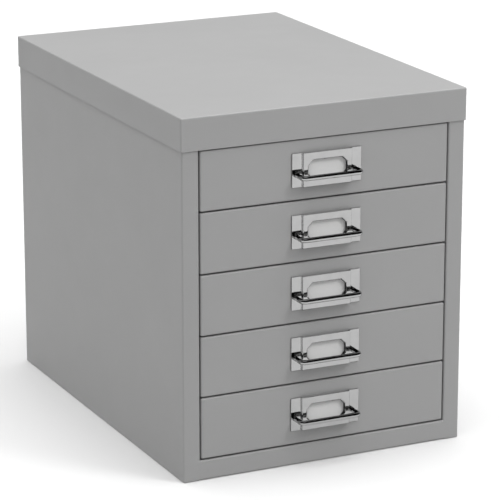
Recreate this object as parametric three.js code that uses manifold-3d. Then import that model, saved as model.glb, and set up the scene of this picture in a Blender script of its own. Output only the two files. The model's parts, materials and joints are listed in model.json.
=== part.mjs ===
// A desktop drawer cabinet in folded sheet steel: a welded case under a pressed cap, and five
// shallow drawers that hang by their top flanges on ledges and carry a label holder and a wire pull.
// Millimetres. +X is the cabinet's right, -Y its front, +Z up. The origin is on the surface that it
// stands on, under the middle of the whole object, pulls included.
// The pieces are drawn in the case's own frame, with y = 0 on the plane of the drawer fronts and y
// growing to the back, and the group is moved forward at the end.

import * as THREE from 'three';
import { mergeVertices } from 'three/addons/utils/BufferGeometryUtils.js';
import Module from 'manifold-3d';

const wasm = await Module();
wasm.setup();

// Driving dimensions of the case
const CASE_WIDTH = 275;
const CASE_DEPTH = 378;
const CASE_HEIGHT = 325;
const SHEET = 0.8;
const FIT = 0.3; // the gap kept between pieces that are welded, clamped or resting in the real cabinet
const BEND = 1.1; // centre-line radius of a folded edge
const CAP_SKIRT = 29.3;
const FOOT_PROUD = 0.5;
const STILE_INSET = 16.85; // from the cap's side to the opening between the stiles
const STILE_RETURN = 12;
const BACK_RETURN = 16;
const RAIL_TOP = 18.4;
const RAIL_RETURN = 12;
const BASE_FLANGE = 12;

// Driving dimensions of the drawers
const DRAWER_COUNT = 5;
const DRAWER_PITCH = 55.2;
const FIRST_GAP_HEIGHT = 241.1; // middle of the gap between the first and the second front
const DRAWER_GAP = 1.3;
const TOP_GAP = 0.7;
const FRONT_PAN_DEPTH = 11;
const TRAY_BACK_CLEARANCE = 11.8; // from the case's back to the tray
const TRAY_SIDE_CLEARANCE = 0.7; // from a ledge's edge to the tray's wall
const TRAY_LIFT = 3.5; // from the front's lower edge up to the tray's floor
const FLANGE_DROP = 7; // from the front's upper edge down to the tray's hanging flange
const FLANGE_CLEARANCE = 0.5; // from the flange's edge to the leg of its ledge
const TRAY_FRONT_DROP = 1; // from the front's upper edge down to the tray's front wall
const TRAVEL = 280;

// Driving dimensions of the ledges and stops
const LINER_BACK_CLEARANCE = 7.8;
const LINER_BOTTOM_CLEARANCE = 1;
const LINER_TOP_CLEARANCE = 2;
const LINER_FLANGE = 14;
const LEDGE_REACH = 5.3; // how far a ledge stands into the opening
const LEDGE_LEG = 10;
const LEDGE_FRONT = 20;
const LEDGE_BACK_CLEARANCE = 15.8;
const STOP_REACH = 4.3; // how far a stop tooth stands into the opening
const STOP_STRIP_DEPTH = 7.5;
const STOP_RISE = 3;
const STOP_CLEARANCE = 1.2; // from the hanging flange up to the stop teeth

// Driving dimensions of the label holder, its card and the pull
const HOLDER_WIDTH = 66.6;
const HOLDER_HEIGHT = 30;
const RAISED_WIDTH = 47;
const RAISE = 2.6;
const WINDOW_WIDTH = 37;
const WINDOW_HEIGHT = 16.4;
const WINDOW_CHAMFER = 4.5;
const STAMPING_BEND = 0.7;
const CARD_WIDTH = 44.4;
const CARD_HEIGHT = 27;
const CARD_THICKNESS = 0.3;
const WIRE_DIAMETER = 4.4;
const WIRE_HALF_SPAN = 28.4;
const WIRE_CORNER = 4;
const WIRE_DROP = 4.7; // from the middle of the label holder down to the wire
const PULL_REACH = 15.2;
const WIRE_TAIL = 3.2; // length of the wire behind the drawer front's outer face
const WIRE_HOLE_DIAMETER = 5.2;
const NUT_DIAMETER = 10;
const NUT_BORE_DIAMETER = 5.2;

// Driving dimensions of the feet
const FOOT_DIAMETER = 14;
const FOOT_TAPER = 0.4;
const FOOT_STEM_DIAMETER = 5;
const FOOT_HEAD_DIAMETER = 7.6;
const FOOT_HEAD_HEIGHT = 2.4;
const FOOT_HOLE_DIAMETER = 6.2;
const FOOT_INSET_X = 27.5;
const FOOT_INSET_Y = 34;

// Sizes that follow from them
const BODY_HALF_WIDTH = CASE_WIDTH / 2 - SHEET - FIT;
const CAP_OVERHANG = SHEET + FIT;
const BODY_DEPTH = CASE_DEPTH - 2 * CAP_OVERHANG;
const BODY_TOP = CASE_HEIGHT - SHEET - FIT;
const CAP_EDGE = CASE_HEIGHT - CAP_SKIRT;
const BASE_FLOOR = FOOT_PROUD + SHEET + FIT;
const STILE_EDGE = CASE_WIDTH / 2 - STILE_INSET;
const FRONT_HALF_WIDTH = STILE_EDGE - DRAWER_GAP;
const LEDGE_EDGE = STILE_EDGE - LEDGE_REACH;
const STOP_EDGE = STILE_EDGE - STOP_REACH;
const TRAY_HALF_WIDTH = LEDGE_EDGE - TRAY_SIDE_CLEARANCE;
const FLANGE_HALF_WIDTH = STILE_EDGE - FIT - SHEET - FLANGE_CLEARANCE;
const TRAY_BACK = BODY_DEPTH - TRAY_BACK_CLEARANCE;
const OBJECT_DEPTH = CASE_DEPTH - CAP_OVERHANG + PULL_REACH;
const FRONT_PLANE = PULL_REACH - OBJECT_DEPTH / 2;

const PAINT = { color: 0xb2b2b2, roughness: 0.5, metalness: 0 };
const PLATED = { color: 0xe6e6e6, roughness: 0.08, metalness: 1 };
const ZINC = { color: 0xb9bcc0, roughness: 0.35, metalness: 1 };
const CARD = { color: 0xf0f0ec, roughness: 0.9, metalness: 0 };
const RUBBER = { color: 0x1c1c1c, roughness: 0.8, metalness: 0 };

const cabinet = new THREE.Group();
cabinet.position.y = FRONT_PLANE;

function addPiece(name, geometry, finish) {
  const mesh = new THREE.Mesh(geometry, new THREE.MeshStandardMaterial(finish));
  mesh.name = name;
  cabinet.add(mesh);
}

// ---- joining and cutting ----

function solidOf(geometry) {
  geometry.deleteAttribute('normal');
  geometry.deleteAttribute('uv');
  const merged = mergeVertices(geometry, 1e-4);
  const vertProperties = merged.attributes.position.array;
  const triVerts = new Uint32Array(merged.index.array);
  return new wasm.Manifold(new wasm.Mesh({ numProp: 3, vertProperties, triVerts }));
}

function geometryOf(solid) {
  const { vertProperties, triVerts } = solid.getMesh();
  const geometry = new THREE.BufferGeometry();
  geometry.setAttribute('position', new THREE.BufferAttribute(vertProperties, 3));
  geometry.setIndex(new THREE.BufferAttribute(triVerts, 1));
  geometry.computeVertexNormals();
  return geometry;
}

function block(x0, x1, y0, y1, z0, z1) {
  const geometry = new THREE.BoxGeometry(x1 - x0, y1 - y0, z1 - z0);
  geometry.translate((x0 + x1) / 2, (y0 + y1) / 2, (z0 + z1) / 2);
  return solidOf(geometry);
}

function rodAlongY(diameter, sides, x, y0, y1, z) {
  const geometry = new THREE.CylinderGeometry(diameter / 2, diameter / 2, y1 - y0, sides);
  geometry.translate(x, (y0 + y1) / 2, z);
  return solidOf(geometry);
}

// ---- folded sheet ----

// The outline of a folded sheet's section: its centre line is a polyline whose corners are rounded
// to the bend radius, and the sheet lies half to each side of it.
function foldedOutline(corners, sheet = SHEET, bend = BEND) {
  const bendSteps = 2;
  const left = [];
  const right = [];
  const put = (centre, normal) => {
    left.push(centre.clone().addScaledVector(normal, sheet / 2));
    right.push(centre.clone().addScaledVector(normal, -sheet / 2));
  };
  const points = corners.map(([u, v]) => new THREE.Vector2(u, v));
  const along = (from, to) => to.clone().sub(from).normalize();
  const leftOf = (direction) => new THREE.Vector2(-direction.y, direction.x);
  put(points[0], leftOf(along(points[0], points[1])));
  for (let i = 1; i < points.length - 1; i += 1) {
    const before = along(points[i - 1], points[i]);
    const after = along(points[i], points[i + 1]);
    const turn = Math.atan2(before.cross(after), before.dot(after));
    const radius = bend * Math.sign(turn);
    const start = points[i].clone().addScaledVector(before, -bend * Math.tan(Math.abs(turn) / 2));
    const centre = start.addScaledVector(leftOf(before), radius);
    for (let step = 0; step <= bendSteps; step += 1) {
      const normal = leftOf(before).rotateAround(new THREE.Vector2(), (turn * step) / bendSteps);
      put(centre.clone().addScaledVector(normal, -radius), normal);
    }
  }
  const last = points.length - 1;
  put(points[last], leftOf(along(points[last - 1], points[last])));
  return new THREE.Shape([...left, ...right.reverse()]);
}

function extrudeAlongZ(shape, z0, z1) {
  const geometry = new THREE.ExtrudeGeometry(shape, { depth: z1 - z0, bevelEnabled: false });
  return solidOf(geometry.translate(0, 0, z0));
}

// The shape's axes are X and Z
function extrudeAlongY(shape, y0, y1) {
  const geometry = new THREE.ExtrudeGeometry(shape, { depth: y1 - y0, bevelEnabled: false });
  return solidOf(geometry.rotateX(Math.PI / 2).translate(0, y1, 0));
}

// The shape's axes are Y and Z
function extrudeAlongX(shape, x0, x1) {
  const axes = new THREE.Matrix4().makeBasis(
    new THREE.Vector3(0, 1, 0),
    new THREE.Vector3(0, 0, 1),
    new THREE.Vector3(1, 0, 0),
  );
  const geometry = new THREE.ExtrudeGeometry(shape, { depth: x1 - x0, bevelEnabled: false });
  return solidOf(geometry.applyMatrix4(axes).translate(x0, 0, 0));
}

// A pressed pan with softened edges: its face lies at z = 0 looking up, and its skirt hangs down.
function pressedPan(width, height, skirt) {
  const softening = 1;
  const cornerRadius = 0.6;
  const x = width / 2 - softening - cornerRadius;
  const y = height / 2 - softening - cornerRadius;
  const face = new THREE.Shape();
  face.absarc(x, y, cornerRadius, 0, Math.PI / 2);
  face.absarc(-x, y, cornerRadius, Math.PI / 2, Math.PI);
  face.absarc(-x, -y, cornerRadius, Math.PI, Math.PI * 1.5);
  face.absarc(x, -y, cornerRadius, Math.PI * 1.5, Math.PI * 2);
  const outer = new THREE.ExtrudeGeometry(face, {
    depth: skirt,
    curveSegments: 2,
    bevelThickness: softening,
    bevelSize: softening,
    bevelSegments: 2,
  });
  outer.translate(0, 0, -skirt - softening);
  const inside = new THREE.BoxGeometry(width - 2 * SHEET, height - 2 * SHEET, skirt);
  inside.translate(0, 0, -SHEET - skirt / 2);
  const belowSkirt = new THREE.BoxGeometry(2 * width, 2 * height, skirt);
  belowSkirt.translate(0, 0, -skirt * 1.5);
  return geometryOf(solidOf(outer).subtract(solidOf(inside)).subtract(solidOf(belowSkirt)));
}

// ---- the case ----

function addTopCap() {
  const geometry = pressedPan(CASE_WIDTH, CASE_DEPTH, CAP_SKIRT);
  geometry.translate(0, BODY_DEPTH / 2, CASE_HEIGHT);
  addPiece('top_cap', geometry, PAINT);
}

// One sheet folded round the stile in front and round the back edge behind
function addSidePanel(name, side) {
  const half = SHEET / 2;
  const outer = side * (BODY_HALF_WIDTH - half);
  const stile = side * (STILE_EDGE + half);
  const path = [
    [stile, STILE_RETURN],
    [stile, half],
    [outer, half],
    [outer, BODY_DEPTH - half],
    [outer - side * BACK_RETURN, BODY_DEPTH - half],
  ];
  const corners = side > 0 ? path : path.reverse();
  const panel = extrudeAlongZ(foldedOutline(corners), FOOT_PROUD, BODY_TOP);
  addPiece(name, geometryOf(panel), PAINT);
}

// A flat sheet behind the side panels' back returns
function addBackPanel() {
  const back = BODY_DEPTH - SHEET - FIT;
  const halfWidth = BODY_HALF_WIDTH - SHEET - FIT;
  const panel = block(-halfWidth, halfWidth, back - SHEET, back, FOOT_PROUD + FIT, BODY_TOP);
  addPiece('back_panel', geometryOf(panel), PAINT);
}

function footPlaces() {
  const places = [];
  for (const [end, y] of [['front', FOOT_INSET_Y], ['back', BODY_DEPTH - FOOT_INSET_Y]]) {
    for (const [hand, side] of [['left', -1], ['right', 1]]) {
      places.push({ name: `foot_${end}_${hand}`, x: side * (CASE_WIDTH / 2 - FOOT_INSET_X), y });
    }
  }
  return places;
}

// A shallow tray, flanges up, that ties the sides, the back and the rail together
function addBasePanel() {
  const halfWidth = BODY_HALF_WIDTH - SHEET - FIT;
  const front = SHEET + FIT;
  const back = BODY_DEPTH - 2 * (SHEET + FIT);
  const floor = BASE_FLOOR + SHEET;
  const top = BASE_FLOOR + BASE_FLANGE;
  let panel = block(-halfWidth, halfWidth, front, back, BASE_FLOOR, top);
  const hollow = block(
    -halfWidth + SHEET, halfWidth - SHEET, front + SHEET, back - SHEET, floor, top + 1,
  );
  panel = panel.subtract(hollow);
  // the stiles' returns stand in the two front corners
  for (const side of [-1, 1]) {
    const xs = [side * (STILE_EDGE - FIT), side * (halfWidth + 1)].sort((a, b) => a - b);
    panel = panel.subtract(block(xs[0], xs[1], 0, STILE_RETURN + FIT, 0, top + 1));
  }
  for (const place of footPlaces()) {
    const radius = FOOT_HOLE_DIAMETER / 2;
    const drill = new THREE.CylinderGeometry(radius, radius, 4 * SHEET, 16);
    drill.rotateX(Math.PI / 2).translate(place.x, place.y, BASE_FLOOR);
    panel = panel.subtract(solidOf(drill));
  }
  addPiece('base_panel', geometryOf(panel), PAINT);
}

// The plain strip under the lowest drawer: a channel folded back at its top and bottom
function addFrontRail() {
  const half = SHEET / 2;
  const path = [
    [RAIL_RETURN, FOOT_PROUD + half],
    [half, FOOT_PROUD + half],
    [half, RAIL_TOP - half],
    [RAIL_RETURN, RAIL_TOP - half],
  ];
  const halfWidth = STILE_EDGE - FIT;
  addPiece('front_rail', geometryOf(extrudeAlongX(foldedOutline(path), -halfWidth, halfWidth)), PAINT);
}

// The inner skin of a side, a channel whose flanges look outwards. The ledges are fixed to it.
function addLiner(name, side) {
  const web = side * (STILE_EDGE + SHEET / 2);
  const lower = RAIL_TOP + LINER_BOTTOM_CLEARANCE;
  const upper = BODY_TOP - LINER_TOP_CLEARANCE;
  const path = [
    [web + side * LINER_FLANGE, upper],
    [web, upper],
    [web, lower],
    [web + side * LINER_FLANGE, lower],
  ];
  const outline = foldedOutline(side > 0 ? path : path.reverse());
  const back = BODY_DEPTH - LINER_BACK_CLEARANCE;
  addPiece(name, geometryOf(extrudeAlongY(outline, STILE_RETURN + FIT, back)), PAINT);
}

// ---- heights of the drawers, counted from the top ----

function frontSpan(index) {
  const gapAbove = FIRST_GAP_HEIGHT - DRAWER_PITCH * (index - 2);
  const gapBelow = gapAbove - DRAWER_PITCH;
  const top = index === 1 ? CAP_EDGE - TOP_GAP : gapAbove - DRAWER_GAP / 2;
  const bottom = index === DRAWER_COUNT ? RAIL_TOP + DRAWER_GAP : gapBelow + DRAWER_GAP / 2;
  return { top, bottom };
}

// The hanging flange and the tray's floor keep the same places in every bay
function trayHeights(index) {
  const gapAbove = FIRST_GAP_HEIGHT - DRAWER_PITCH * (index - 2);
  const flangeTop = gapAbove - DRAWER_GAP / 2 - FLANGE_DROP;
  const floor = gapAbove - DRAWER_PITCH + DRAWER_GAP / 2 + TRAY_LIFT;
  return { flangeTop, floor };
}

// ---- ledges and stops ----

// An angle that the tray's flange slides on
function addRunner(name, side, index) {
  const ledgeTop = trayHeights(index).flangeTop - SHEET - FIT;
  const half = SHEET / 2;
  const leg = side * (STILE_EDGE - FIT - half);
  const path = [
    [side * LEDGE_EDGE, ledgeTop - half],
    [leg, ledgeTop - half],
    [leg, ledgeTop + LEDGE_LEG],
  ];
  const outline = foldedOutline(side > 0 ? path : path.reverse());
  const back = BODY_DEPTH - LEDGE_BACK_CLEARANCE;
  addPiece(name, geometryOf(extrudeAlongY(outline, LEDGE_FRONT, back)), ZINC);
}

// A strip behind the stile with one tooth for each drawer. The closed front rests on the teeth, and
// the ears on the drawer's flanges run into them when it is pulled out.
function addStopStrip(name, side) {
  const front = FRONT_PAN_DEPTH + FIT;
  const xs = (from, to) => [side * from, side * to].sort((a, b) => a - b);
  const outer = STILE_EDGE - FIT;
  const [x0, x1] = xs(outer - SHEET, outer);
  const bottom = trayHeights(DRAWER_COUNT).floor;
  const top = trayHeights(1).flangeTop + LEDGE_LEG;
  let strip = block(x0, x1, front, front + STOP_STRIP_DEPTH, bottom, top);
  for (let index = 1; index <= DRAWER_COUNT; index += 1) {
    const toothBottom = trayHeights(index).flangeTop + STOP_CLEARANCE;
    const [t0, t1] = xs(STOP_EDGE, outer);
    const tooth = block(t0, t1, front, front + SHEET, toothBottom, toothBottom + STOP_RISE);
    strip = strip.add(tooth);
  }
  addPiece(name, geometryOf(strip), ZINC);
}

// ---- feet ----

// A rubber button: pad under the base, stem through its hole, and a head that holds it there
function addFeet() {
  const padTop = BASE_FLOOR - FIT;
  const headBottom = BASE_FLOOR + SHEET + FIT;
  const profile = [
    [0, 0],
    [FOOT_DIAMETER / 2 - FOOT_TAPER, 0],
    [FOOT_DIAMETER / 2, padTop],
    [FOOT_STEM_DIAMETER / 2, padTop],
    [FOOT_STEM_DIAMETER / 2, headBottom],
    [FOOT_HEAD_DIAMETER / 2, headBottom],
    [FOOT_STEM_DIAMETER / 3, headBottom + FOOT_HEAD_HEIGHT],
    [0, headBottom + FOOT_HEAD_HEIGHT],
  ].map(([r, z]) => new THREE.Vector2(r, z));
  for (const { name, x, y } of footPlaces()) {
    const geometry = new THREE.LatheGeometry(profile, 16);
    geometry.rotateX(Math.PI / 2).translate(x, y, 0);
    addPiece(name, geometryOf(solidOf(geometry)), RUBBER);
  }
}

// ---- one drawer ----

function addDrawerFront(index) {
  const { top, bottom } = frontSpan(index);
  const geometry = pressedPan(2 * FRONT_HALF_WIDTH, top - bottom, FRONT_PAN_DEPTH);
  geometry.rotateX(Math.PI / 2).translate(0, 0, (top + bottom) / 2);
  let pan = solidOf(geometry);
  const wireHeight = holderMiddle(index) - WIRE_DROP;
  for (const side of [-1, 1]) {
    const hole = rodAlongY(WIRE_HOLE_DIAMETER, 12, side * WIRE_HALF_SPAN, -1, SHEET + 1, wireHeight);
    pan = pan.subtract(hole);
  }
  addPiece(`drawer_front_${index}`, geometryOf(pan), PAINT);
}

// Floor and sides in one fold, hung by its top flanges, with an ear turned up on each flange. The
// front wall stands higher and closes the hollow of the drawer front.
function addDrawerTray(index) {
  const { flangeTop, floor } = trayHeights(index);
  const half = SHEET / 2;
  const wall = TRAY_HALF_WIDTH - half;
  const flange = flangeTop - half;
  const front = FRONT_PAN_DEPTH + FIT;
  const path = [
    [-FLANGE_HALF_WIDTH, flange],
    [-wall, flange],
    [-wall, floor + half],
    [wall, floor + half],
    [wall, flange],
    [FLANGE_HALF_WIDTH, flange],
  ];
  let tray = extrudeAlongY(foldedOutline(path), front, TRAY_BACK);
  const frontTop = frontSpan(index).top - TRAY_FRONT_DROP;
  for (const [y, endTop] of [[front, frontTop], [TRAY_BACK - SHEET, flangeTop - BEND]]) {
    tray = tray.add(block(-wall, wall, y, y + SHEET, floor + half, endTop));
  }
  const earFront = front + SHEET + FIT + TRAVEL;
  const earTop = flangeTop + STOP_CLEARANCE + STOP_RISE - FIT;
  for (const side of [-1, 1]) {
    const xs = [side * STOP_EDGE, side * FLANGE_HALF_WIDTH].sort((a, b) => a - b);
    tray = tray.add(block(xs[0], xs[1], earFront, earFront + SHEET, flange, earTop));
  }
  addPiece(`drawer_tray_${index}`, geometryOf(tray), PAINT);
}

function holderMiddle(index) {
  const { top, bottom } = frontSpan(index);
  return (top + bottom) / 2;
}

// The window's outline, a rectangle with cut corners, grown evenly on all sides
function windowOutline(middle, growth) {
  const w = WINDOW_WIDTH / 2 + growth;
  const h = WINDOW_HEIGHT / 2 + growth;
  const c = WINDOW_CHAMFER + growth * (2 - Math.SQRT2);
  return new THREE.Shape([
    new THREE.Vector2(-w, middle - h + c),
    new THREE.Vector2(-w + c, middle - h),
    new THREE.Vector2(w - c, middle - h),
    new THREE.Vector2(w, middle - h + c),
    new THREE.Vector2(w, middle + h - c),
    new THREE.Vector2(w - c, middle + h),
    new THREE.Vector2(-w + c, middle + h),
    new THREE.Vector2(-w, middle + h - c),
  ]);
}

// A stamped plate whose middle stands forward as a pocket for the card: open at the top, closed at
// the bottom, with a window whose edge is turned in towards the card
function addLabelHolder(index) {
  const middle = holderMiddle(index);
  const bottom = middle - HOLDER_HEIGHT / 2;
  const top = middle + HOLDER_HEIGHT / 2;
  const flange = -FIT - SHEET / 2;
  const raised = flange - RAISE;
  const step = (RAISED_WIDTH - SHEET) / 2;
  const path = [
    [-HOLDER_WIDTH / 2, flange],
    [-step, flange],
    [-step, raised],
    [step, raised],
    [step, flange],
    [HOLDER_WIDTH / 2, flange],
  ];
  let plate = extrudeAlongZ(foldedOutline(path, SHEET, STAMPING_BEND), bottom, top);
  plate = plate.add(block(-step, step, raised, -FIT, bottom, bottom + SHEET));
  const lipBack = -CARD_THICKNESS - 2 * FIT;
  plate = plate.add(extrudeAlongY(windowOutline(middle, SHEET), raised, lipBack));
  plate = plate.subtract(extrudeAlongY(windowOutline(middle, 0), raised - SHEET, lipBack + SHEET));
  for (const side of [-1, 1]) {
    const x = side * WIRE_HALF_SPAN;
    const hole = rodAlongY(WIRE_HOLE_DIAMETER, 12, x, flange - 1, flange + 1, middle - WIRE_DROP);
    plate = plate.subtract(hole);
  }
  addPiece(`label_holder_${index}`, geometryOf(plate), PLATED);
}

// The card drops into the pocket from above and stands on its lip
function addLabelCard(index) {
  const bottom = holderMiddle(index) - HOLDER_HEIGHT / 2 + SHEET + FIT;
  const back = -FIT;
  const card = block(
    -CARD_WIDTH / 2, CARD_WIDTH / 2, back - CARD_THICKNESS, back, bottom, bottom + CARD_HEIGHT,
  );
  addPiece(`label_card_${index}`, geometryOf(card), CARD);
}

// A wire bent into a flat U, whose two tails go through the holder and the drawer front
function addPull(index) {
  const reach = -PULL_REACH + WIRE_DIAMETER / 2;
  const span = WIRE_HALF_SPAN;
  const corner = WIRE_CORNER;
  const at = (x, y) => new THREE.Vector3(x, y, 0);
  const route = new THREE.CurvePath();
  route.add(new THREE.LineCurve3(at(-span, WIRE_TAIL), at(-span, reach + corner)));
  route.add(new THREE.QuadraticBezierCurve3(
    at(-span, reach + corner), at(-span, reach), at(-span + corner, reach),
  ));
  route.add(new THREE.LineCurve3(at(-span + corner, reach), at(span - corner, reach)));
  route.add(new THREE.QuadraticBezierCurve3(
    at(span - corner, reach), at(span, reach), at(span, reach + corner),
  ));
  route.add(new THREE.LineCurve3(at(span, reach + corner), at(span, WIRE_TAIL)));
  const section = new THREE.Shape();
  section.absarc(0, 0, WIRE_DIAMETER / 2, 0, Math.PI * 2);
  const geometry = new THREE.ExtrudeGeometry(section, {
    steps: 36,
    curveSegments: 4,
    bevelEnabled: false,
    extrudePath: route,
  });
  geometry.translate(0, 0, holderMiddle(index) - WIRE_DROP);
  addPiece(`pull_${index}`, geometryOf(solidOf(geometry)), PLATED);
}

// Spring steel washers pressed onto the wire's tails inside the front
function addPushNuts(index) {
  const front = SHEET + FIT;
  const wireHeight = holderMiddle(index) - WIRE_DROP;
  for (const [hand, side] of [['left', -1], ['right', 1]]) {
    const x = side * WIRE_HALF_SPAN;
    const disc = rodAlongY(NUT_DIAMETER, 12, x, front, front + SHEET, wireHeight);
    const hole = rodAlongY(NUT_BORE_DIAMETER, 12, x, front - 1, front + 2, wireHeight);
    addPiece(`push_nut_${hand}_${index}`, geometryOf(disc.subtract(hole)), ZINC);
  }
}

// ---- assembly ----

addTopCap();
addSidePanel('left_side_panel', -1);
addSidePanel('right_side_panel', 1);
addBackPanel();
addBasePanel();
addFrontRail();
addFeet();
for (const [hand, side] of [['left', -1], ['right', 1]]) {
  addLiner(`${hand}_liner`, side);
  addStopStrip(`${hand}_stop_strip`, side);
  for (let index = 1; index <= DRAWER_COUNT; index += 1) {
    addRunner(`runner_${hand}_${index}`, side, index);
  }
}
for (let index = 1; index <= DRAWER_COUNT; index += 1) {
  addDrawerTray(index);
  addDrawerFront(index);
  addLabelHolder(index);
  addLabelCard(index);
  addPull(index);
  addPushNuts(index);
}

export default cabinet;
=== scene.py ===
import json
import math

import bmesh
import bpy
from mathutils import Matrix, Vector


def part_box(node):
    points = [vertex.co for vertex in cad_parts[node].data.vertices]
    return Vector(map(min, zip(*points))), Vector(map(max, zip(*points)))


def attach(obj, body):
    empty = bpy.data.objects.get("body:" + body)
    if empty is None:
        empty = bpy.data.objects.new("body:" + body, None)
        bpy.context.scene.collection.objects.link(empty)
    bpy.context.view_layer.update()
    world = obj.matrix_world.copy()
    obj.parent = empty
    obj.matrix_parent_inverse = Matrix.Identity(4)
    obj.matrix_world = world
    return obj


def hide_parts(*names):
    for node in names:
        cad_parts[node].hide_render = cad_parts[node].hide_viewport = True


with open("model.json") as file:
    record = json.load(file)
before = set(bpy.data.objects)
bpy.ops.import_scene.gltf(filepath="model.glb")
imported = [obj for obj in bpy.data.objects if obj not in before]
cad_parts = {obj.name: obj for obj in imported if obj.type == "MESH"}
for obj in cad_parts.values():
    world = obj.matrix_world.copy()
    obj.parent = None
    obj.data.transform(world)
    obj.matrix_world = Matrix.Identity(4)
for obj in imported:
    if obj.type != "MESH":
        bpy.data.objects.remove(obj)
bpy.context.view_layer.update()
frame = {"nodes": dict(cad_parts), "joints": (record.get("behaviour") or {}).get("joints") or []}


# ---- Camera ----
# A long lens stands 2.5 m away, to the left of the front and a little above the cap, and looks
# down on it.
VIEW_AZIMUTH = math.radians(-25.65)
VIEW_ELEVATION = math.radians(16.12)
VIEW_DISTANCE = 2.5272
VIEW_LENS = 197.9
AIM_HEIGHT = 0.1543
AIM_BEFORE_MIDDLE = 0.0364

cap_low, cap_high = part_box("top_cap")
aim = Vector((0, (cap_low.y + cap_high.y) / 2 - AIM_BEFORE_MIDDLE, AIM_HEIGHT))
towards_camera = Vector((
    math.sin(VIEW_AZIMUTH) * math.cos(VIEW_ELEVATION),
    -math.cos(VIEW_AZIMUTH) * math.cos(VIEW_ELEVATION),
    math.sin(VIEW_ELEVATION),
))
camera = bpy.data.objects.new("camera", bpy.data.cameras.new("camera"))
camera.data.lens = VIEW_LENS
camera.location = aim + towards_camera * VIEW_DISTANCE
camera.rotation_mode = "QUATERNION"
camera.rotation_quaternion = (-towards_camera).to_track_quat("-Z", "Y")
bpy.context.collection.objects.link(camera)
bpy.context.scene.camera = camera


# ---- Side panels ----
# Each side is one 0.8 mm steel sheet: folded round the stile and back into the case in front, and
# round the back edge behind. The whole case is powder coated in mid grey after welding.
SHEET = 0.0008
BEND = 0.0011  # centre-line radius of a fold
FOLD_SEGMENTS = 6
LEAST_FOLD = math.radians(30)
CUT_EDGE = 0.00018  # how far a sheared and coated edge is softened
PAINT_COLOUR = (0.414, 0.414, 0.414, 1)


def paint_material():
    """Powder coat: satin, slightly uneven in tone and gloss, with the fine dimpling of a baked film."""
    material = bpy.data.materials.new("grey_powder_coat")
    material.use_nodes = True
    nodes, links = material.node_tree.nodes, material.node_tree.links
    shader = nodes["Principled BSDF"]
    place = nodes.new("ShaderNodeTexCoord")

    def noise(scale, detail):
        node = nodes.new("ShaderNodeTexNoise")
        node.inputs["Scale"].default_value = scale
        node.inputs["Detail"].default_value = detail
        links.new(place.outputs["Object"], node.inputs["Vector"])
        return node.outputs["Fac"]

    def ramp(source, low, high):
        node = nodes.new("ShaderNodeValToRGB")
        node.color_ramp.elements[0].position = 0.3
        node.color_ramp.elements[0].color = low
        node.color_ramp.elements[1].position = 0.7
        node.color_ramp.elements[1].color = high
        links.new(source, node.inputs["Fac"])
        return node.outputs["Color"]

    def tone(factor):
        return tuple(channel * factor for channel in PAINT_COLOUR[:3]) + (1,)

    cloud = ramp(noise(14, 3), tone(0.985), tone(1.01))
    speck = ramp(noise(2600, 1), (0.97, 0.97, 0.97, 1), (1, 1, 1, 1))
    both = nodes.new("ShaderNodeMix")
    both.data_type = "RGBA"
    both.blend_type = "MULTIPLY"
    both.inputs["Factor"].default_value = 1
    links.new(cloud, both.inputs["A"])
    links.new(speck, both.inputs["B"])
    links.new(both.outputs["Result"], shader.inputs["Base Color"])
    gloss = nodes.new("ShaderNodeMapRange")
    gloss.inputs["To Min"].default_value = 0.44
    gloss.inputs["To Max"].default_value = 0.54
    links.new(noise(40, 4), gloss.inputs["Value"])
    links.new(gloss.outputs["Result"], shader.inputs["Roughness"])
    film = nodes.new("ShaderNodeBump")
    film.inputs["Strength"].default_value = 0.12
    film.inputs["Distance"].default_value = 0.0002
    links.new(noise(750, 2), film.inputs["Height"])
    links.new(film.outputs["Normal"], shader.inputs["Normal"])
    return material


paint = paint_material()


def finish_sheet(bm, name, body, materials, sheet=SHEET, offset=0.0, edge=CUT_EDGE):
    """Gives a folded surface its sheet thickness and soft cut edges, and fixes it to its body.

    With more than one material, the cut edges take the one after their face's."""
    bmesh.ops.recalc_face_normals(bm, faces=bm.faces[:])
    mesh = bpy.data.meshes.new(name)
    bm.to_mesh(mesh)
    bm.free()
    mesh.shade_smooth()
    for material in materials:
        mesh.materials.append(material)
    piece = bpy.data.objects.new(name, mesh)
    bpy.context.collection.objects.link(piece)
    thickness = piece.modifiers.new("sheet_thickness", "SOLIDIFY")
    thickness.thickness = sheet
    thickness.offset = offset
    thickness.use_even_offset = True
    thickness.material_offset_rim = 1 if len(materials) > 1 else 0
    softening = piece.modifiers.new("cut_edges", "BEVEL")
    softening.width = edge
    softening.segments = 2
    softening.limit_method = "ANGLE"
    softening.angle_limit = math.radians(50)
    softening.harden_normals = False
    piece.modifiers.new("even_shading", "WEIGHTED_NORMAL").keep_sharp = True
    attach(piece, body)
    return piece


def fold_line(line, along, bend=BEND):
    """A surface drawn out from a line of corners, with each corner rounded as a press brake leaves it."""
    bm = bmesh.new()
    corners = [bm.verts.new(point) for point in line]
    edges = [bm.edges.new(pair) for pair in zip(corners, corners[1:])]
    drawn = bmesh.ops.extrude_edge_only(bm, edges=edges)["geom"]
    bmesh.ops.translate(bm, verts=[g for g in drawn if isinstance(g, bmesh.types.BMVert)], vec=along)
    round_folds(bm, bend)
    return bm


def round_folds(bm, bend, segments=FOLD_SEGMENTS):
    """Rounds every edge where two faces of the sheet meet at an angle."""
    folds = [e for e in bm.edges if len(e.link_faces) == 2 and e.calc_face_angle() > LEAST_FOLD]
    bmesh.ops.bevel(
        bm, geom=folds, offset=bend, segments=segments, profile=0.5, affect="EDGES", material=-1,
        clamp_overlap=True,
    )


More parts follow.
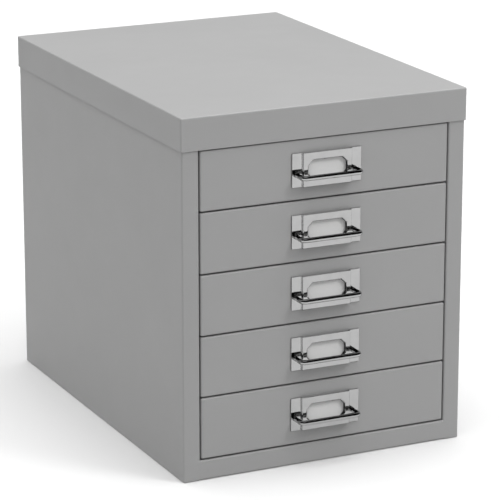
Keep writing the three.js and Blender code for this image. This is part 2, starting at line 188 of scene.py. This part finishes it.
STILE_RETURN = 0.012
stile_edge = -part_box("left_liner")[1].x  # the liner's web stands behind the stile's return
half = SHEET / 2
for hand, side in (("left", -1), ("right", 1)):
    low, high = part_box(f"{hand}_side_panel")
    outer, inner = low.x + half, high.x - half
    if side > 0:
        outer, inner = inner, outer
    stile = side * (stile_edge + half)
    line = [
        (stile, low.y + STILE_RETURN, low.z),
        (stile, low.y + half, low.z),
        (outer, low.y + half, low.z),
        (outer, high.y - half, low.z),
        (inner, high.y - half, low.z),
    ]
    bm = fold_line(line, (0, 0, high.z - low.z))
    panel = finish_sheet(bm, f"{hand}_side", "case", [paint])
    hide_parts(f"{hand}_side_panel")


# ---- Front rail ----
# A channel under the lowest drawer. Its ends are welded to the stiles and ground flush, so no seam
# shows: the face runs on over the start of each stile.
RAIL_RETURN = 0.012
RAIL_LAP = 0.0018
GROUND_FLUSH = 0.00002

low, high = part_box("front_rail")
face = low.y + half - GROUND_FLUSH
line = [
    (low.x - RAIL_LAP, low.y + RAIL_RETURN, low.z + half),
    (low.x - RAIL_LAP, face, low.z + half),
    (low.x - RAIL_LAP, face, high.z - half),
    (low.x - RAIL_LAP, low.y + RAIL_RETURN, high.z - half),
]
bm = fold_line(line, (high.x - low.x + 2 * RAIL_LAP, 0, 0))
rail = finish_sheet(bm, "rail", "case", [paint])
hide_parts("front_rail")


# ---- Back, base and liners ----
# The back is flat sheet behind the folds of the sides, the base a shallow tray, and the liners are
# channels inside the sides. All are the same steel, spot welded, with the same coat.
def coat_node(name, material):
    node = frame["nodes"][name]
    node.data.materials.clear()
    node.data.materials.append(material)


for name in ("back_panel", "base_panel", "left_liner", "right_liner"):
    coat_node(name, paint)


# ---- Ledges and stop strips ----
# Ten steel angles spot welded to the liners carry the drawers, and two toothed strips behind the
# stiles stop them. They are zinc plated and not painted, because the drawers rub on them.
def zinc_material():
    """Clear zinc: a fine rolled grain along the strip, and a faint cloudy bloom."""
    material = bpy.data.materials.new("clear_zinc")
    material.use_nodes = True
    nodes, links = material.node_tree.nodes, material.node_tree.links
    shader = nodes["Principled BSDF"]
    shader.inputs["Metallic"].default_value = 1
    place = nodes.new("ShaderNodeTexCoord")
    stretch = nodes.new("ShaderNodeMapping")
    stretch.inputs["Scale"].default_value = (2400, 60, 2400)
    links.new(place.outputs["Object"], stretch.inputs["Vector"])
    grain = nodes.new("ShaderNodeTexNoise")
    grain.inputs["Scale"].default_value = 1
    grain.inputs["Detail"].default_value = 3
    links.new(stretch.outputs["Vector"], grain.inputs["Vector"])
    bloom = nodes.new("ShaderNodeTexNoise")
    bloom.inputs["Scale"].default_value = 70
    bloom.inputs["Detail"].default_value = 5
    links.new(place.outputs["Object"], bloom.inputs["Vector"])
    colour = nodes.new("ShaderNodeValToRGB")
    colour.color_ramp.elements[0].position = 0.35
    colour.color_ramp.elements[0].color = (0.50, 0.51, 0.53, 1)
    colour.color_ramp.elements[1].position = 0.65
    colour.color_ramp.elements[1].color = (0.60, 0.61, 0.62, 1)
    links.new(bloom.outputs["Fac"], colour.inputs["Fac"])
    links.new(colour.outputs["Color"], shader.inputs["Base Color"])
    gloss = nodes.new("ShaderNodeMapRange")
    gloss.inputs["To Min"].default_value = 0.26
    gloss.inputs["To Max"].default_value = 0.44
    links.new(grain.outputs["Fac"], gloss.inputs["Value"])
    links.new(gloss.outputs["Result"], shader.inputs["Roughness"])
    return material


zinc = zinc_material()
drawers = range(1, 6)
for hand in ("left", "right"):
    coat_node(f"{hand}_stop_strip", zinc)
    for index in drawers:
        coat_node(f"runner_{hand}_{index}", zinc)


# ---- Feet ----
# Four buttons of moulded black rubber. Each has a stem that is pushed up through a hole near a
# corner of the base.
def rubber_material():
    """Moulded rubber: nearly black, dull, with a fine matt grain."""
    material = bpy.data.materials.new("foot_rubber")
    material.use_nodes = True
    nodes, links = material.node_tree.nodes, material.node_tree.links
    shader = nodes["Principled BSDF"]
    place = nodes.new("ShaderNodeTexCoord")
    grain = nodes.new("ShaderNodeTexNoise")
    grain.inputs["Scale"].default_value = 1800
    links.new(place.outputs["Object"], grain.inputs["Vector"])
    colour = nodes.new("ShaderNodeValToRGB")
    colour.color_ramp.elements[0].color = (0.012, 0.012, 0.012, 1)
    colour.color_ramp.elements[1].color = (0.026, 0.026, 0.026, 1)
    links.new(grain.outputs["Fac"], colour.inputs["Fac"])
    links.new(colour.outputs["Color"], shader.inputs["Base Color"])
    shader.inputs["Roughness"].default_value = 0.75
    return material


rubber = rubber_material()
for name in ("foot_front_left", "foot_front_right", "foot_back_left", "foot_back_right"):
    coat_node(name, rubber)


# ---- Top cap ----
# A pan pressed from one sheet of the same steel, with its corners welded and ground smooth. It is
# dropped over the case, and its skirt laps down outside it all round.
PRESSED_RADIUS = 0.0014  # outside radius of a pan's edges
PRESSED_SEGMENTS = 6


def pressed_pan(low, high, open_side):
    """A box open on one side, with every edge that isn't on the open side rounded."""
    bm = bmesh.new()
    bmesh.ops.create_cube(bm, size=1)
    size = high - low
    bmesh.ops.scale(bm, vec=size, verts=bm.verts[:])
    bmesh.ops.translate(bm, vec=(low + high) / 2, verts=bm.verts[:])
    opening = [f for f in bm.faces if f.normal.dot(Vector(open_side)) > 0.9]
    bmesh.ops.delete(bm, geom=opening, context="FACES_ONLY")
    edges = [e for e in bm.edges if len(e.link_faces) == 2]
    bmesh.ops.bevel(
        bm, geom=edges, offset=PRESSED_RADIUS, segments=PRESSED_SEGMENTS, profile=0.5,
        affect="EDGES", material=-1, clamp_overlap=True,
    )
    return bm


cap = finish_sheet(
    pressed_pan(cap_low, cap_high, (0, 0, -1)), "cap", "case", [paint], offset=-1,
)
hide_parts("top_cap")


# ---- Drawer trays ----
# Floor and walls pressed from one sheet. The side walls turn out at the top into the flanges that
# the drawer hangs by, with an ear on each to stop it. The front wall stands higher than the rest.
TRAY_RADIUS = 0.0015
TRAY_SIDE_CLEARANCE = 0.0007
EAR_HEIGHT = 0.0039
REST_GAP = 0.0003  # between pieces that lie on each other

tooth_low, tooth_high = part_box("left_stop_strip")
travel = frame["joints"][0]["range_m"][1]
ear_y = tooth_low.y + SHEET + REST_GAP + travel + half


def select_edges(bm, is_wanted):
    return [e for e in bm.edges if all(is_wanted(v.co) for v in e.verts)]


def draw_out(bm, edges, move):
    """Carries a surface on from some of its free edges, and gives the new free edges."""
    drawn = bmesh.ops.extrude_edge_only(bm, edges=edges)["geom"]
    verts = [g for g in drawn if isinstance(g, bmesh.types.BMVert)]
    bmesh.ops.translate(bm, verts=verts, vec=move)
    return [
        g for g in drawn if isinstance(g, bmesh.types.BMEdge) and all(v in verts for v in g.verts)
    ]


for index in drawers:
    name = f"drawer_tray_{index}"
    low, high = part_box(name)
    ledge_low, ledge_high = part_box(f"runner_left_{index}")
    wall = -ledge_high.x - TRAY_SIDE_CLEARANCE - half
    flange = high.x - wall
    flange_z = ledge_low.z + SHEET + REST_GAP + half
    front_y, back_y = low.y + half, high.y - half
    bm = bmesh.new()
    bmesh.ops.create_cube(bm, size=1)
    size = Vector((2 * wall, back_y - front_y, flange_z - low.z - half))
    middle = Vector((0, (front_y + back_y) / 2, (flange_z + low.z + half) / 2))
    bmesh.ops.scale(bm, vec=size, verts=bm.verts[:])
    bmesh.ops.translate(bm, vec=middle, verts=bm.verts[:])
    lid = [f for f in bm.faces if f.normal.z > 0.9]
    bmesh.ops.delete(bm, geom=lid, context="FACES_ONLY")
    front_rim = select_edges(bm, lambda co: co.z > middle.z and co.y < middle.y)
    for side in (-1, 1):
        rim = select_edges(bm, lambda co: co.z > middle.z and side * co.x > 0)
        draw_out(bm, rim, (side * flange, 0, 0))
        foot = [bm.verts.new((side * x, ear_y, flange_z)) for x in (-tooth_high.x, high.x)]
        draw_out(bm, [bm.edges.new(foot)], (0, 0, EAR_HEIGHT))
    draw_out(bm, front_rim, (0, 0, high.z - flange_z))
    round_folds(bm, TRAY_RADIUS)
    tray = finish_sheet(bm, f"tray_{index}", f"drawer_{index}", [paint])
    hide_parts(name)


# ---- Drawer fronts ----
# Shallow pans pressed from the same steel and welded to the trays. Shut, they lie flush with the
# stiles.
for index in drawers:
    name = f"drawer_front_{index}"
    low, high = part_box(name)
    front = finish_sheet(
        pressed_pan(low, high, (0, 1, 0)), f"front_{index}", f"drawer_{index}",
        [paint], offset=-1,
    )
    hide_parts(name)


# ---- Label holders ----
# Stamped from thin steel and bright plated. The middle stands forward as a pocket that is closed at
# the bottom, and its window has cut corners and an edge turned in to the card. The turned-in faces,
# the sheared edges and the pocket's closed bottom are painted nearly black as painted shade, for the
# shadow in the window's edge and under the pocket. The pull's tails clamp the flanges to the front.
HOLDER_SHEET = 0.0008
HOLDER_BEND = 0.0007
RAISED_WIDTH = 0.047
WINDOW_WIDTH = 0.037
WINDOW_HEIGHT = 0.0164
WINDOW_CHAMFER = 0.0045
NEAR = 1e-6
# each face of a holder takes the bright plate or the nearly black painted shade
BRIGHT, PAINTED_SHADE = 0, 1


def plated_material(name, dark_tone, light_tone, smooth, rough):
    """Plated steel with faint smears in its tone and its gloss."""
    material = bpy.data.materials.new(name)
    material.use_nodes = True
    nodes, links = material.node_tree.nodes, material.node_tree.links
    shader = nodes["Principled BSDF"]
    shader.inputs["Metallic"].default_value = 1
    place = nodes.new("ShaderNodeTexCoord")
    smear = nodes.new("ShaderNodeTexNoise")
    smear.inputs["Scale"].default_value = 120
    smear.inputs["Detail"].default_value = 4
    links.new(place.outputs["Object"], smear.inputs["Vector"])
    colour = nodes.new("ShaderNodeValToRGB")
    colour.color_ramp.elements[0].position = 0.3
    colour.color_ramp.elements[0].color = (dark_tone, dark_tone, dark_tone, 1)
    colour.color_ramp.elements[1].position = 0.7
    colour.color_ramp.elements[1].color = (light_tone, light_tone, light_tone, 1)
    links.new(smear.outputs["Fac"], colour.inputs["Fac"])
    links.new(colour.outputs["Color"], shader.inputs["Base Color"])
    gloss = nodes.new("ShaderNodeMapRange")
    gloss.inputs["To Min"].default_value = smooth
    gloss.inputs["To Max"].default_value = rough
    links.new(smear.outputs["Fac"], gloss.inputs["Value"])
    links.new(gloss.outputs["Result"], shader.inputs["Roughness"])
    return material


bright_plate = plated_material("bright_plate", 0.37, 0.4, 0.04, 0.09)
# nearly black painted shade for the turned-in faces, the sheared edges and the pocket's bottom
painted_shade_plate = plated_material("painted_shade_plate", 0.035, 0.06, 0.35, 0.5)


def flat_quad(bm, width, height, centre):
    """A rectangle that faces the front."""
    made = bmesh.ops.create_grid(bm, x_segments=1, y_segments=1, size=0.5)["verts"]
    bmesh.ops.scale(bm, vec=(width, height, 1), verts=made)
    bmesh.ops.rotate(bm, verts=made, matrix=Matrix.Rotation(math.pi / 2, 3, "X"))
    bmesh.ops.translate(bm, vec=centre, verts=made)
    return made


# the window's outline runs half a sheet outside its edge, so its cut corners are this much longer
window_growth = HOLDER_SHEET / 2 * (2 - math.sqrt(2))
for index in drawers:
    name = f"label_holder_{index}"
    low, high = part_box(name)
    centre = Vector((0, low.y + HOLDER_SHEET / 2, (low.z + high.z) / 2))
    step = (RAISED_WIDTH - HOLDER_SHEET) / 2
    back = high.y - HOLDER_SHEET / 2
    bm = bmesh.new()
    window = flat_quad(bm, WINDOW_WIDTH + HOLDER_SHEET, WINDOW_HEIGHT + HOLDER_SHEET, centre)
    bmesh.ops.bevel(
        bm, geom=window, offset=WINDOW_CHAMFER + window_growth, segments=1, profile=0.5, affect="VERTICES",
        material=-1, clamp_overlap=True,
    )
    flat_quad(bm, 2 * step, high.z - low.z, centre)
    bmesh.ops.delete(bm, geom=bm.faces[:], context="FACES_ONLY")
    bmesh.ops.triangle_fill(bm, edges=bm.edges[:], use_beauty=True, normal=(0, -1, 0))

    left_rim = select_edges(bm, lambda co: co.x < -step + NEAR)
    right_rim = select_edges(bm, lambda co: co.x > step - NEAR)
    lower_rim = select_edges(bm, lambda co: co.z < low.z + NEAR)
    window_rim = select_edges(
        bm, lambda co: abs(co.x) < step - NEAR and low.z + NEAR < co.z < high.z - NEAR,
    )
    window_rim = [e for e in window_rim if len(e.link_faces) == 1]
    card_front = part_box(f"label_card_{index}")[0].y
    draw_out(bm, window_rim, (0, card_front - REST_GAP - centre.y, 0))
    to_flange = (0, back - centre.y, 0)
    draw_out(bm, draw_out(bm, left_rim, to_flange), (step - high.x, 0, 0))
    draw_out(bm, draw_out(bm, right_rim, to_flange), (high.x - step, 0, 0))
    draw_out(bm, lower_rim, to_flange)
    bm.normal_update()
    # faces across the front and at the side steps are plated; the others take the painted shade
    for face in bm.faces:
        at_side_step = abs(face.calc_center_median().x) > step - NEAR
        face.material_index = BRIGHT if at_side_step or abs(face.normal.y) > 0.5 else PAINTED_SHADE
    round_folds(bm, HOLDER_BEND, 4)
    holder = finish_sheet(
        bm, f"holder_{index}", f"drawer_{index}", [bright_plate, painted_shade_plate, painted_shade_plate],
        sheet=HOLDER_SHEET, edge=0.0001,
    )
    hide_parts(name)


# ---- Label cards ----
# A slip of uncoated white card stands loose in the pocket of each holder and shows through its
# window.
def card_material():
    """Uncoated card: warm white, matt, with short fibres in the surface."""
    material = bpy.data.materials.new("white_card")
    material.use_nodes = True
    nodes, links = material.node_tree.nodes, material.node_tree.links
    shader = nodes["Principled BSDF"]
    place = nodes.new("ShaderNodeTexCoord")
    fibre = nodes.new("ShaderNodeTexNoise")
    fibre.inputs["Scale"].default_value = 1500
    fibre.inputs["Detail"].default_value = 4
    fibre.inputs["Distortion"].default_value = 1.5
    links.new(place.outputs["Object"], fibre.inputs["Vector"])
    colour = nodes.new("ShaderNodeValToRGB")
    colour.color_ramp.elements[0].position = 0.3
    colour.color_ramp.elements[0].color = (0.88, 0.88, 0.875, 1)
    colour.color_ramp.elements[1].position = 0.7
    colour.color_ramp.elements[1].color = (0.92, 0.92, 0.915, 1)
    links.new(fibre.outputs["Fac"], colour.inputs["Fac"])
    links.new(colour.outputs["Color"], shader.inputs["Base Color"])
    shader.inputs["Roughness"].default_value = 0.85
    bump = nodes.new("ShaderNodeBump")
    bump.inputs["Strength"].default_value = 0.2
    bump.inputs["Distance"].default_value = 0.0001
    links.new(fibre.outputs["Fac"], bump.inputs["Height"])
    links.new(bump.outputs["Normal"], shader.inputs["Normal"])
    return material


card = card_material()
for index in drawers:
    coat_node(f"label_card_{index}", card)


# ---- Pulls ----
# Round steel wire bent into a flat U and bright plated. Its tails go through the holder's flanges
# and the front, and the push nuts grip them inside.
WIRE_SIDES = 24
WIRE_CORNER = 0.004
WIRE_CORNER_STEPS = 10


def turn_wire(bm, ring, centre):
    """Carries the wire round a quarter turn, and gives the ring of edges at its new end."""
    last = bmesh.ops.spin(
        bm, geom=ring, cent=centre, axis=(0, 0, 1), angle=math.pi / 2, steps=WIRE_CORNER_STEPS,
    )["geom_last"]
    return [g for g in last if isinstance(g, bmesh.types.BMEdge)]


for index in drawers:
    name = f"pull_{index}"
    low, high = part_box(name)
    radius = (high.z - low.z) / 2
    height = (low.z + high.z) / 2
    span = high.x - radius
    reach = low.y + radius
    bm = bmesh.new()
    start = Matrix.Translation((-span, high.y, height)) @ Matrix.Rotation(math.pi / 2, 4, "X")
    bmesh.ops.create_circle(bm, segments=WIRE_SIDES, radius=radius, matrix=start)
    ring = bm.edges[:]
    bmesh.ops.edgeloop_fill(bm, edges=ring)
    arm = high.y - reach - WIRE_CORNER
    ring = draw_out(bm, ring, (0, -arm, 0))
    ring = turn_wire(bm, ring, (-span + WIRE_CORNER, reach + WIRE_CORNER, height))
    ring = draw_out(bm, ring, (2 * (span - WIRE_CORNER), 0, 0))
    ring = turn_wire(bm, ring, (span - WIRE_CORNER, reach + WIRE_CORNER, height))
    ring = draw_out(bm, ring, (0, arm, 0))
    bmesh.ops.edgeloop_fill(bm, edges=ring)
    bmesh.ops.recalc_face_normals(bm, faces=bm.faces[:])
    mesh = bpy.data.meshes.new(f"wire_{index}")
    bm.to_mesh(mesh)
    bm.free()
    mesh.shade_smooth()
    mesh.materials.append(bright_plate)
    wire = bpy.data.objects.new(f"wire_{index}", mesh)
    bpy.context.collection.objects.link(wire)
    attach(wire, f"drawer_{index}")
    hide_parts(name)


# ---- Push nuts ----
# Zinc plated steel washers, two for each pull. They are pressed on the wire's tails inside the
# front and hold the pull and the label holder to it.
for index in drawers:
    for hand in ("left", "right"):
        coat_node(f"push_nut_{hand}_{index}", zinc)


# ---- Floor, lights and surroundings ----
# A white floor under a sky that brightens towards the zenith, a soft key from the upper right and
# a weak fill from the left. The floor throws back an even light, less than it shows. Bright plating
# sees other surroundings: dark all round, below a white ceiling.
FLOOR_SIZE = 12
FLOOR_SEEN = 0.8
FLOOR_BOUNCE = 0.15  # share of the light on the floor that it throws back
FLOOR_GLOW = 0.34  # even light that it adds
SKY_LOW = 0.5
SKY_HIGH = 5.9
ZENITH_FROM = 0.78  # sine of the elevation where the sky starts to brighten
SEEN_WHITE = 1.2
CEILING_WHITE = 1.1
HORIZON_DARK = 0.01
DARK_UP_TO = 0.88  # sine of the elevation where the ceiling begins
CEILING_FROM = 0.98  # and where it is white

bm = bmesh.new()
bmesh.ops.create_grid(bm, x_segments=1, y_segments=1, size=FLOOR_SIZE / 2)
floor_mesh = bpy.data.meshes.new("floor")
bm.to_mesh(floor_mesh)
bm.free()
floor = bpy.data.objects.new("floor", floor_mesh)
bpy.context.collection.objects.link(floor)
floor_paint = bpy.data.materials.new("floor_white")
floor_paint.use_nodes = True
floor_nodes, floor_links = floor_paint.node_tree.nodes, floor_paint.node_tree.links
floor_shader = floor_nodes["Principled BSDF"]
floor_shader.inputs["Roughness"].default_value = 1
floor_shader.inputs["Specular IOR Level"].default_value = 0
floor_tone = floor_nodes.new("ShaderNodeMix")
floor_tone.data_type = "RGBA"
floor_tone.inputs["A"].default_value = (FLOOR_SEEN, FLOOR_SEEN, FLOOR_SEEN, 1)
floor_tone.inputs["B"].default_value = (FLOOR_BOUNCE, FLOOR_BOUNCE, FLOOR_BOUNCE, 1)
floor_ray = floor_nodes.new("ShaderNodeLightPath")
floor_links.new(floor_ray.outputs["Is Diffuse Ray"], floor_tone.inputs["Factor"])
floor_links.new(floor_tone.outputs["Result"], floor_shader.inputs["Base Color"])
floor_glow = floor_nodes.new("ShaderNodeMath")
floor_glow.operation = "MULTIPLY"
floor_glow.inputs[1].default_value = FLOOR_GLOW
floor_links.new(floor_ray.outputs["Is Diffuse Ray"], floor_glow.inputs[0])
floor_links.new(floor_glow.outputs["Value"], floor_shader.inputs["Emission Strength"])
floor_shader.inputs["Emission Color"].default_value = (1, 1, 1, 1)
floor_mesh.materials.append(floor_paint)


def soft_light(name, size, power, place, aim):
    """A square lamp with its size in metres and its power in watts. Bright plating doesn't show it."""
    data = bpy.data.lights.new(name, "AREA")
    data.shape = "SQUARE"
    data.size = size
    data.energy = power
    light = bpy.data.objects.new(name, data)
    light.location = place
    light.rotation_mode = "QUATERNION"
    light.rotation_quaternion = (Vector(aim) - Vector(place)).to_track_quat("-Z", "Y")
    light.visible_glossy = False
    bpy.context.collection.objects.link(light)


case_middle = (0, 0, cap_high.z / 2)
soft_light("key", size=0.8, power=24, place=(1.3, -1.75, 2.2), aim=case_middle)
soft_light("fill", size=1.2, power=3, place=(-2.2, 0.5, 1.6), aim=case_middle)

world = bpy.data.worlds.new("surroundings")
bpy.context.scene.world = world
world.use_nodes = True
world_nodes, world_links = world.node_tree.nodes, world.node_tree.links
direction = world_nodes.new("ShaderNodeTexCoord")
height = world_nodes.new("ShaderNodeSeparateXYZ")
world_links.new(direction.outputs["Generated"], height.inputs["Vector"])
ray = world_nodes.new("ShaderNodeLightPath")


def rising_sky(start, end, low_strength, high_strength):
    """A sky whose strength goes from low to high between two heights, given as sines of elevation."""
    sky = world_nodes.new("ShaderNodeBackground")
    brightness = world_nodes.new("ShaderNodeMapRange")
    brightness.inputs["From Min"].default_value = start
    brightness.inputs["From Max"].default_value = end
    brightness.inputs["To Min"].default_value = low_strength
    brightness.inputs["To Max"].default_value = high_strength
    world_links.new(height.outputs["Z"], brightness.inputs["Value"])
    world_links.new(brightness.outputs["Result"], sky.inputs["Strength"])
    return sky.outputs["Background"]


def one_or_other(is_other, one, other):
    choice = world_nodes.new("ShaderNodeMixShader")
    world_links.new(is_other, choice.inputs["Fac"])
    world_links.new(one, choice.inputs[1])
    world_links.new(other, choice.inputs[2])
    return choice.outputs["Shader"]


lighting = rising_sky(ZENITH_FROM, 1, SKY_LOW, SKY_HIGH)
reflected = rising_sky(DARK_UP_TO, CEILING_FROM, HORIZON_DARK, CEILING_WHITE)
seen = rising_sky(0, 1, SEEN_WHITE, SEEN_WHITE)
sky = one_or_other(ray.outputs["Is Glossy Ray"], lighting, reflected)
sky = one_or_other(ray.outputs["Is Camera Ray"], sky, seen)
world_links.new(sky, world_nodes["World Output"].inputs["Surface"])

bpy.context.scene.view_settings.view_transform = "Standard"
